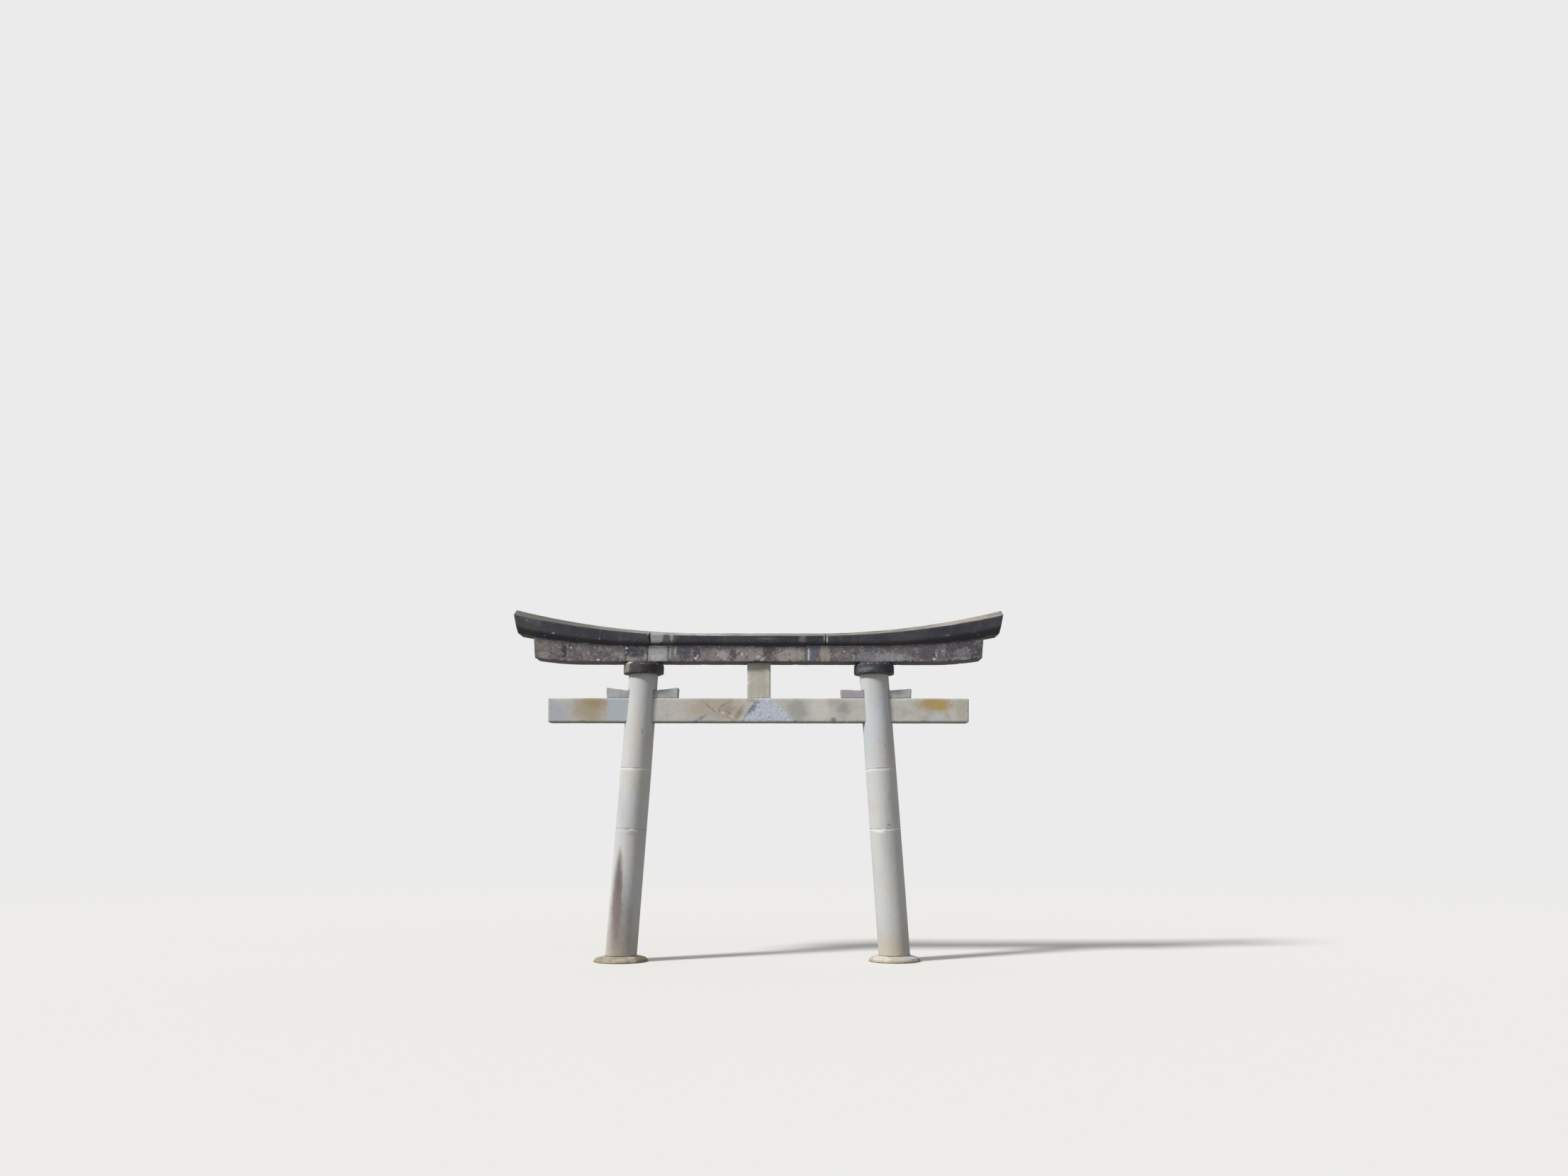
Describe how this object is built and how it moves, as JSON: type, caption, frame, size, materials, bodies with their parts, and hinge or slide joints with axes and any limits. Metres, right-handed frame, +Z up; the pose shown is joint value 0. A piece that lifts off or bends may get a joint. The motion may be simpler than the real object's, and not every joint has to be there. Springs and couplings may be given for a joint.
{
  "type": "stone torii gate",
  "caption": "Free-standing stone shrine gate with round leaning columns on low base stones, cap rings, a wedged tie beam, a centre strut and two curved lintels.",
  "frame": {"origin": "on the ground, midway between the two columns", "axes": "+X along the beams towards the right column, +Y through the gateway towards the back, +Z up"},
  "size_m": [6.8284, 0.728, 4.744],
  "materials": {
    "base_stone": "rough dressed granite, worn",
    "column_stone": "fine dressed granite, rain stained",
    "mortar": "pale lime mortar, struck flush",
    "cap_ring_stone": "dressed granite, dark stained",
    "tie_beam_stone": "fine dressed granite with ochre lichen",
    "lower_lintel_stone": "dressed granite, mottled with lichen and runs",
    "upper_lintel_stone": "dressed granite, dark with lichen, pale worn top"
  },
  "bodies": {
    "root": {"left_base_stone": "base_stone", "right_base_stone": "base_stone", "left_lower_drum": "column_stone", "left_middle_drum": "column_stone", "left_upper_drum": "column_stone", "right_lower_drum": "column_stone", "right_middle_drum": "column_stone", "right_upper_drum": "column_stone", "left_lower_mortar": "mortar", "left_upper_mortar": "mortar", "right_lower_mortar": "mortar", "right_upper_mortar": "mortar", "left_cap_ring": "cap_ring_stone", "right_cap_ring": "cap_ring_stone", "tie_beam": "tie_beam_stone", "centre_strut": "tie_beam_stone", "wedge_left_outer": "tie_beam_stone", "wedge_left_inner": "tie_beam_stone", "wedge_right_inner": "tie_beam_stone", "wedge_right_outer": "tie_beam_stone", "lower_lintel_left": "lower_lintel_stone", "lower_lintel_middle": "lower_lintel_stone", "lower_lintel_right": "lower_lintel_stone", "upper_lintel_left": "upper_lintel_stone", "upper_lintel_middle": "upper_lintel_stone", "upper_lintel_right": "upper_lintel_stone"}
  },
  "joints": []
}
